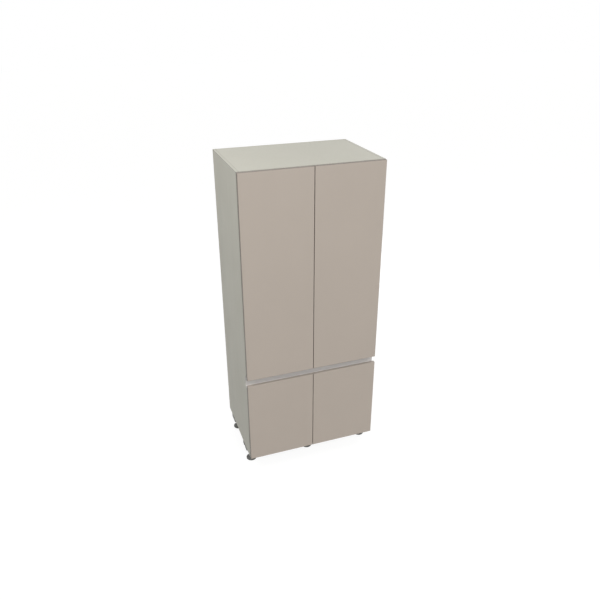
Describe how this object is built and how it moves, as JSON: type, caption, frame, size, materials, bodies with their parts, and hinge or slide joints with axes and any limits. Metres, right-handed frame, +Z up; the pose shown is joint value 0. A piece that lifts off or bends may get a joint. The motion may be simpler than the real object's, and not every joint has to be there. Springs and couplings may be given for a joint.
{
  "type": "tall kitchen housing unit",
  "caption": "Tall two-column kitchen housing on levelling legs: slab doors on concealed hinges above and below a recessed finger channel, with loose shelves inside.",
  "frame": {"origin": "on the floor, at the centre of the whole unit's footprint with the doors shut", "axes": "+X to the right seen from the front, +Y towards the back wall, +Z up"},
  "size_m": [0.9008, 0.622, 2.08],
  "materials": {
    "carcass_board": "warm grey melamine-faced board, matt, faint upright grain",
    "back_board": "warm grey faced hardboard, matt",
    "door_lacquer": "smooth matt lacquer, greyish beige",
    "channel_aluminium": "fine brushed, anodised",
    "hinge_steel": "nickel plated, satin",
    "clip_steel": "zinc plated",
    "support_plastic": "moulded, matt",
    "leg_plastic": "moulded dark grey, matt",
    "bumper_rubber": "soft, slightly translucent"
  },
  "bodies": {
    "carcass": {"back_panel": "back_board", "bottom_panel": "carcass_board", "channel_clips": "clip_steel", "door_bumpers": "bumper_rubber", "finger_channel": "channel_aluminium", "left_hinge_arms": "hinge_steel", "left_mounting_plates": "hinge_steel", "leg_sockets": "leg_plastic", "lower_rear_rail": "carcass_board", "lower_shelf_1": "carcass_board", "middle_fixed_shelf": "carcass_board", "right_hinge_arms": "hinge_steel", "right_mounting_plates": "hinge_steel", "shelf_supports": "support_plastic", "side_panel_left": "carcass_board", "side_panel_right": "carcass_board", "top_panel": "carcass_board", "upper_rear_rail": "carcass_board", "upper_shelf_1": "carcass_board", "upper_shelf_2": "carcass_board", "upper_shelf_3": "carcass_board", "upper_shelf_4": "carcass_board"},
    "upper_left_long_link_set": {"upper_left_long_links": "hinge_steel"},
    "upper_left_short_link_set": {"upper_left_short_links": "hinge_steel"},
    "upper_left_door_leaf": {"upper_left_door": "door_lacquer", "upper_left_hinge_cups": "hinge_steel"},
    "upper_right_long_link_set": {"upper_right_long_links": "hinge_steel"},
    "upper_right_short_link_set": {"upper_right_short_links": "hinge_steel"},
    "upper_right_door_leaf": {"upper_right_door": "door_lacquer", "upper_right_hinge_cups": "hinge_steel"},
    "lower_left_long_link_set": {"lower_left_long_links": "hinge_steel"},
    "lower_left_short_link_set": {"lower_left_short_links": "hinge_steel"},
    "lower_left_door_leaf": {"lower_left_door": "door_lacquer", "lower_left_hinge_cups": "hinge_steel"},
    "lower_right_long_link_set": {"lower_right_long_links": "hinge_steel"},
    "lower_right_short_link_set": {"lower_right_short_links": "hinge_steel"},
    "lower_right_door_leaf": {"lower_right_door": "door_lacquer", "lower_right_hinge_cups": "hinge_steel"},
    "foot_back_left_screw": {"foot_back_left": "leg_plastic"},
    "foot_back_middle_screw": {"foot_back_middle": "leg_plastic"},
    "foot_back_right_screw": {"foot_back_right": "leg_plastic"},
    "foot_front_left_screw": {"foot_front_left": "leg_plastic"},
    "foot_front_middle_screw": {"foot_front_middle": "leg_plastic"},
    "foot_front_right_screw": {"foot_front_right": "leg_plastic"}
  },
  "joints": [
    {"name": "upper_left_long_link_swing", "type": "hinge", "parent": "carcass", "child": "upper_left_long_link_set", "pos_m": [-0.416, -0.274, 0.9], "axis": [0, 0, 1], "range_deg": [0, 45]},
    {"name": "upper_left_door_swing", "type": "hinge", "parent": "upper_left_long_link_set", "child": "upper_left_door_leaf", "pos_m": [-0.4399, -0.2925, 0.9], "axis": [0, 0, -1], "range_deg": [0, 135]},
    {"name": "upper_left_short_link_swing", "type": "hinge", "parent": "carcass", "child": "upper_left_short_link_set", "pos_m": [-0.4255, -0.2901, 0.9], "axis": [0, 0, 1], "range_deg": [0, 77.4]},
    {"name": "upper_right_long_link_swing", "type": "hinge", "parent": "carcass", "child": "upper_right_long_link_set", "pos_m": [0.416, -0.274, 0.9], "axis": [0, 0, -1], "range_deg": [0, 45]},
    {"name": "upper_right_door_swing", "type": "hinge", "parent": "upper_right_long_link_set", "child": "upper_right_door_leaf", "pos_m": [0.4399, -0.2925, 0.9], "axis": [0, 0, 1], "range_deg": [0, 135]},
    {"name": "upper_right_short_link_swing", "type": "hinge", "parent": "carcass", "child": "upper_right_short_link_set", "pos_m": [0.4255, -0.2901, 0.9], "axis": [0, 0, -1], "range_deg": [0, 77.4]},
    {"name": "lower_left_long_link_swing", "type": "hinge", "parent": "carcass", "child": "lower_left_long_link_set", "pos_m": [-0.416, -0.274, 0.4], "axis": [0, 0, 1], "range_deg": [0, 45]},
    {"name": "lower_left_door_swing", "type": "hinge", "parent": "lower_left_long_link_set", "child": "lower_left_door_leaf", "pos_m": [-0.4399, -0.2925, 0.4], "axis": [0, 0, -1], "range_deg": [0, 135]},
    {"name": "lower_left_short_link_swing", "type": "hinge", "parent": "carcass", "child": "lower_left_short_link_set", "pos_m": [-0.4255, -0.2901, 0.4], "axis": [0, 0, 1], "range_deg": [0, 77.4]},
    {"name": "lower_right_long_link_swing", "type": "hinge", "parent": "carcass", "child": "lower_right_long_link_set", "pos_m": [0.416, -0.274, 0.4], "axis": [0, 0, -1], "range_deg": [0, 45]},
    {"name": "lower_right_door_swing", "type": "hinge", "parent": "lower_right_long_link_set", "child": "lower_right_door_leaf", "pos_m": [0.4399, -0.2925, 0.4], "axis": [0, 0, 1], "range_deg": [0, 135]},
    {"name": "lower_right_short_link_swing", "type": "hinge", "parent": "carcass", "child": "lower_right_short_link_set", "pos_m": [0.4255, -0.2901, 0.4], "axis": [0, 0, -1], "range_deg": [0, 77.4]},
    {"name": "foot_back_left_levelling", "type": "slide", "parent": "carcass", "child": "foot_back_left_screw", "axis": [0, 0, -1], "range_m": [0, 0.02]},
    {"name": "foot_back_middle_levelling", "type": "slide", "parent": "carcass", "child": "foot_back_middle_screw", "axis": [0, 0, -1], "range_m": [0, 0.02]},
    {"name": "foot_back_right_levelling", "type": "slide", "parent": "carcass", "child": "foot_back_right_screw", "axis": [0, 0, -1], "range_m": [0, 0.02]},
    {"name": "foot_front_left_levelling", "type": "slide", "parent": "carcass", "child": "foot_front_left_screw", "axis": [0, 0, -1], "range_m": [0, 0.02]},
    {"name": "foot_front_middle_levelling", "type": "slide", "parent": "carcass", "child": "foot_front_middle_screw", "axis": [0, 0, -1], "range_m": [0, 0.02]},
    {"name": "foot_front_right_levelling", "type": "slide", "parent": "carcass", "child": "foot_front_right_screw", "axis": [0, 0, -1], "range_m": [0, 0.02]}
  ],
  "couplings": [
    {"joint": "upper_left_long_link_swing", "follows": "upper_left_door_swing", "ratio": 0.33333},
    {"joint": "upper_left_short_link_swing", "follows": "upper_left_door_swing", "ratio": 0.57333},
    {"joint": "upper_right_long_link_swing", "follows": "upper_right_door_swing", "ratio": 0.33333},
    {"joint": "upper_right_short_link_swing", "follows": "upper_right_door_swing", "ratio": 0.57333},
    {"joint": "lower_left_long_link_swing", "follows": "lower_left_door_swing", "ratio": 0.33333},
    {"joint": "lower_left_short_link_swing", "follows": "lower_left_door_swing", "ratio": 0.57333},
    {"joint": "lower_right_long_link_swing", "follows": "lower_right_door_swing", "ratio": 0.33333},
    {"joint": "lower_right_short_link_swing", "follows": "lower_right_door_swing", "ratio": 0.57333}
  ]
}
